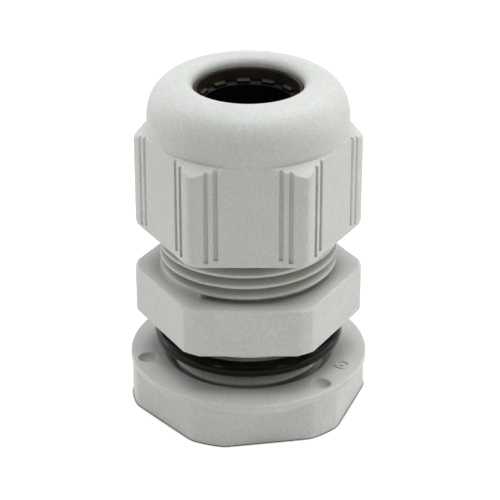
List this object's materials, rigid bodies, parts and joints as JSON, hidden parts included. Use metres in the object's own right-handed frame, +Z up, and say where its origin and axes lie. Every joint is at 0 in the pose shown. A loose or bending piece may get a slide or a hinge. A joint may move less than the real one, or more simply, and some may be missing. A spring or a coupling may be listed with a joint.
{
  "type": "cable gland",
  "caption": "Plastic screw-in cable gland with hexagonal body, domed clamping nut, rubber bush, O-ring and flanged lock nut; grips and seals a round cable at a panel hole.",
  "frame": {"origin": "centre of the lock nut's bottom face, on the surface that the gland stands on", "axes": "+Z up the gland's axis, from the lock nut to the dome; -Y is the front, which faces a flat of the body's hexagon"},
  "size_m": [0.0306, 0.0306, 0.0441],
  "materials": {
    "grey_polyamide": "fine moulded satin",
    "black_rubber": "smooth moulded rubber"
  },
  "bodies": {
    "gland_body": {"gland_body": "grey_polyamide"},
    "seal_bush": {"seal_bush": "black_rubber"},
    "dome_nut": {"dome_nut": "grey_polyamide"},
    "o_ring": {"o_ring": "black_rubber"},
    "lock_nut": {"lock_nut": "grey_polyamide"},
    "clamping_finger_01": {"clamping_finger_01": "grey_polyamide"},
    "clamping_finger_02": {"clamping_finger_02": "grey_polyamide"},
    "clamping_finger_03": {"clamping_finger_03": "grey_polyamide"},
    "clamping_finger_04": {"clamping_finger_04": "grey_polyamide"},
    "clamping_finger_05": {"clamping_finger_05": "grey_polyamide"},
    "clamping_finger_06": {"clamping_finger_06": "grey_polyamide"},
    "clamping_finger_07": {"clamping_finger_07": "grey_polyamide"},
    "clamping_finger_08": {"clamping_finger_08": "grey_polyamide"},
    "clamping_finger_09": {"clamping_finger_09": "grey_polyamide"},
    "clamping_finger_10": {"clamping_finger_10": "grey_polyamide"},
    "clamping_finger_11": {"clamping_finger_11": "grey_polyamide"},
    "clamping_finger_12": {"clamping_finger_12": "grey_polyamide"}
  },
  "joints": [
    {"name": "dome_nut_travel", "type": "slide", "parent": "gland_body", "child": "seal_bush", "axis": [0, 0, 1], "range_m": [-0.00375, 0.003]},
    {"name": "dome_nut_turn", "type": "hinge", "parent": "seal_bush", "child": "dome_nut", "pos_m": [0, 0, 0.028], "axis": [0, 0, 1], "range_deg": [-900, 720]},
    {"name": "lock_nut_turn", "type": "hinge", "parent": "gland_body", "child": "o_ring", "pos_m": [0, 0, 0.0093], "axis": [0, 0, 1], "range_deg": [-1080, 360]},
    {"name": "lock_nut_travel", "type": "slide", "parent": "o_ring", "child": "lock_nut", "axis": [0, 0, 1], "range_m": [-0.0045, 0.0015]},
    {"name": "finger_01_flex", "type": "hinge", "parent": "gland_body", "child": "clamping_finger_01", "pos_m": [0, -0.00868, 0.0289], "axis": [-1, 0, 0], "range_deg": [-9.6, 12]},
    {"name": "finger_02_flex", "type": "hinge", "parent": "gland_body", "child": "clamping_finger_02", "pos_m": [0.00434, -0.00751, 0.0289], "axis": [-0.866, -0.5, 0], "range_deg": [-9.6, 12]},
    {"name": "finger_03_flex", "type": "hinge", "parent": "gland_body", "child": "clamping_finger_03", "pos_m": [0.00751, -0.00434, 0.0289], "axis": [-0.5, -0.866, 0], "range_deg": [-9.6, 12]},
    {"name": "finger_04_flex", "type": "hinge", "parent": "gland_body", "child": "clamping_finger_04", "pos_m": [0.00868, 0, 0.0289], "axis": [0, -1, 0], "range_deg": [-9.6, 12]},
    {"name": "finger_05_flex", "type": "hinge", "parent": "gland_body", "child": "clamping_finger_05", "pos_m": [0.00751, 0.00434, 0.0289], "axis": [0.5, -0.866, 0], "range_deg": [-9.6, 12]},
    {"name": "finger_06_flex", "type": "hinge", "parent": "gland_body", "child": "clamping_finger_06", "pos_m": [0.00434, 0.00751, 0.0289], "axis": [0.866, -0.5, 0], "range_deg": [-9.6, 12]},
    {"name": "finger_07_flex", "type": "hinge", "parent": "gland_body", "child": "clamping_finger_07", "pos_m": [0, 0.00868, 0.0289], "axis": [1, 0, 0], "range_deg": [-9.6, 12]},
    {"name": "finger_08_flex", "type": "hinge", "parent": "gland_body", "child": "clamping_finger_08", "pos_m": [-0.00434, 0.00751, 0.0289], "axis": [0.866, 0.5, 0], "range_deg": [-9.6, 12]},
    {"name": "finger_09_flex", "type": "hinge", "parent": "gland_body", "child": "clamping_finger_09", "pos_m": [-0.00751, 0.00434, 0.0289], "axis": [0.5, 0.866, 0], "range_deg": [-9.6, 12]},
    {"name": "finger_10_flex", "type": "hinge", "parent": "gland_body", "child": "clamping_finger_10", "pos_m": [-0.00868, 0, 0.0289], "axis": [0, 1, 0], "range_deg": [-9.6, 12]},
    {"name": "finger_11_flex", "type": "hinge", "parent": "gland_body", "child": "clamping_finger_11", "pos_m": [-0.00751, -0.00434, 0.0289], "axis": [-0.5, 0.866, 0], "range_deg": [-9.6, 12]},
    {"name": "finger_12_flex", "type": "hinge", "parent": "gland_body", "child": "clamping_finger_12", "pos_m": [-0.00434, -0.00751, 0.0289], "axis": [-0.866, 0.5, 0], "range_deg": [-9.6, 12]}
  ],
  "couplings": [
    {"joint": "dome_nut_travel", "follows": "dome_nut_turn", "m_per_rad": 0.00023873},
    {"joint": "lock_nut_travel", "follows": "lock_nut_turn", "m_per_rad": 0.00023873},
    {"joint": "finger_01_flex", "follows": "dome_nut_turn", "ratio": -0.013333},
    {"joint": "finger_02_flex", "follows": "dome_nut_turn", "ratio": -0.013333},
    {"joint": "finger_03_flex", "follows": "dome_nut_turn", "ratio": -0.013333},
    {"joint": "finger_04_flex", "follows": "dome_nut_turn", "ratio": -0.013333},
    {"joint": "finger_05_flex", "follows": "dome_nut_turn", "ratio": -0.013333},
    {"joint": "finger_06_flex", "follows": "dome_nut_turn", "ratio": -0.013333},
    {"joint": "finger_07_flex", "follows": "dome_nut_turn", "ratio": -0.013333},
    {"joint": "finger_08_flex", "follows": "dome_nut_turn", "ratio": -0.013333},
    {"joint": "finger_09_flex", "follows": "dome_nut_turn", "ratio": -0.013333},
    {"joint": "finger_10_flex", "follows": "dome_nut_turn", "ratio": -0.013333},
    {"joint": "finger_11_flex", "follows": "dome_nut_turn", "ratio": -0.013333},
    {"joint": "finger_12_flex", "follows": "dome_nut_turn", "ratio": -0.013333}
  ]
}
